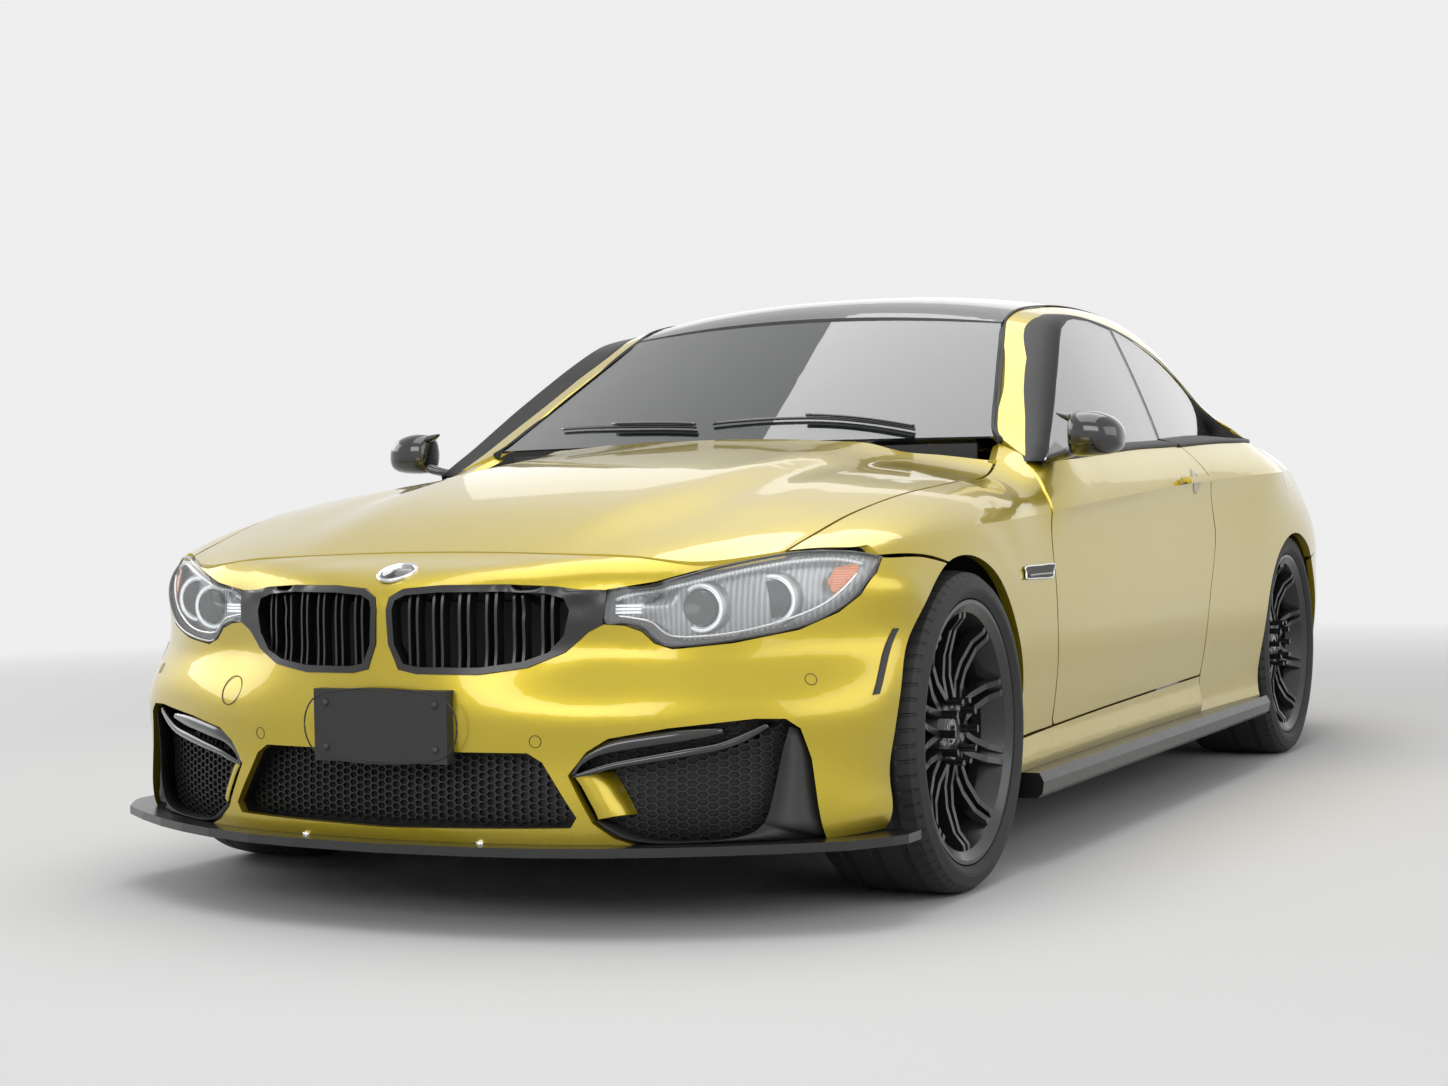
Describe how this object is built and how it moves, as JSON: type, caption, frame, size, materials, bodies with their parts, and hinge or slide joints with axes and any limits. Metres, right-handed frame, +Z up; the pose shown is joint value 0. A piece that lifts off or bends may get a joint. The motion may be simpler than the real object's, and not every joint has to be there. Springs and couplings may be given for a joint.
{
  "type": "coupe car",
  "caption": "Low two-door coupe with a flared grille in the nose, slim lamps, opening doors, bonnet and boot lid, steered front wheels and thin twin-spoke wheels.",
  "frame": {"origin": "on the ground, midway between the splitter's lip and the rear bumper, on the car's middle plane", "axes": "-Y is the front of the car, +X its left side, +Z up"},
  "size_m": [2.008, 4.7143, 1.375],
  "materials": {
    "paint": "metallic pale gold clear coat",
    "gloss_black": "gloss black",
    "black_plastic": "grained black",
    "lamp_clear": "clear",
    "lamp_red": "translucent red",
    "window_glass": "tinted",
    "wheel_paint": "satin black",
    "tyre_rubber": "rubber",
    "cast_metal": "cast and machined",
    "steel": "dipped steel",
    "exhaust_steel": "brushed",
    "seat_leather": "black leather"
  },
  "bodies": {
    "body": {"front_bumper": "paint", "headlamp_lenses": "lamp_clear", "headlamp_housings": "black_plastic", "grilles": "gloss_black", "intake_mesh": "black_plastic", "splitter": "gloss_black", "fender_left": "paint", "fender_right": "paint", "body_side_left": "paint", "body_side_right": "paint", "tail_lamps": "lamp_red", "roof_panel": "gloss_black", "windscreen": "window_glass", "rear_screen": "window_glass", "rear_bumper": "paint", "quarter_glass": "window_glass", "front_suspension": "steel", "rear_suspension": "steel", "engine": "cast_metal", "floor": "steel", "wheelhouses": "black_plastic", "front_structure": "steel", "door_frames": "steel", "front_seats": "seat_leather", "rear_seat": "seat_leather", "dashboard": "black_plastic", "cowl": "black_plastic", "steering_wheel": "seat_leather", "side_trims": "black_plastic", "skirts": "black_plastic", "exhaust": "exhaust_steel"},
    "bonnet": {"bonnet": "paint"},
    "boot_lid": {"boot_lid": "paint"},
    "door_left": {"door_left": "paint", "door_glass_left": "window_glass", "mirror_left": "gloss_black", "handle_left": "paint"},
    "knuckle_left": {"knuckle_left": "cast_metal"},
    "wheel_front_left": {"wheel_front_left": "wheel_paint", "tyre_front_left": "tyre_rubber"},
    "wheel_rear_left": {"wheel_rear_left": "wheel_paint", "tyre_rear_left": "tyre_rubber"},
    "door_right": {"door_right": "paint", "door_glass_right": "window_glass", "mirror_right": "gloss_black", "handle_right": "paint"},
    "knuckle_right": {"knuckle_right": "cast_metal"},
    "wheel_front_right": {"wheel_front_right": "wheel_paint", "tyre_front_right": "tyre_rubber"},
    "wheel_rear_right": {"wheel_rear_right": "wheel_paint", "tyre_rear_right": "tyre_rubber"}
  },
  "joints": [
    {"name": "steer_left", "type": "hinge", "parent": "body", "child": "knuckle_left", "pos_m": [0.715, -1.514, 0.19], "axis": [-0.2313, 0, 0.9729], "range_deg": [-32, 32]},
    {"name": "steer_right", "type": "hinge", "parent": "body", "child": "knuckle_right", "pos_m": [-0.715, -1.514, 0.19], "axis": [0.2313, 0, 0.9729], "range_deg": [-32, 32]},
    {"name": "door_left_hinge", "type": "hinge", "parent": "body", "child": "door_left", "pos_m": [0.87, -0.968, 0.6], "axis": [0, 0, -1], "range_deg": [0, 62]},
    {"name": "door_right_hinge", "type": "hinge", "parent": "body", "child": "door_right", "pos_m": [-0.87, -0.968, 0.6], "axis": [0, 0, 1], "range_deg": [0, 62]},
    {"name": "bonnet_hinge", "type": "hinge", "parent": "body", "child": "bonnet", "pos_m": [0, -0.83, 0.88], "axis": [-1, 0, 0], "range_deg": [0, 45]},
    {"name": "boot_hinge", "type": "hinge", "parent": "body", "child": "boot_lid", "pos_m": [0, 1.5, 0.97], "axis": [1, 0, 0], "range_deg": [0, 62]},
    {"name": "wheel_front_left_spin", "type": "hinge", "parent": "knuckle_left", "child": "wheel_front_left", "pos_m": [0.7875, -1.514, 0.3305], "axis": [1, 0, 0], "continuous": true},
    {"name": "wheel_front_right_spin", "type": "hinge", "parent": "knuckle_right", "child": "wheel_front_right", "pos_m": [-0.7875, -1.514, 0.3305], "axis": [1, 0, 0], "continuous": true},
    {"name": "wheel_rear_left_spin", "type": "hinge", "parent": "body", "child": "wheel_rear_left", "pos_m": [0.7795, 1.298, 0.3365], "axis": [1, 0, 0], "continuous": true},
    {"name": "wheel_rear_right_spin", "type": "hinge", "parent": "body", "child": "wheel_rear_right", "pos_m": [-0.7795, 1.298, 0.3365], "axis": [1, 0, 0], "continuous": true}
  ],
  "couplings": [
    {"joint": "steer_right", "follows": "steer_left", "ratio": 1}
  ]
}
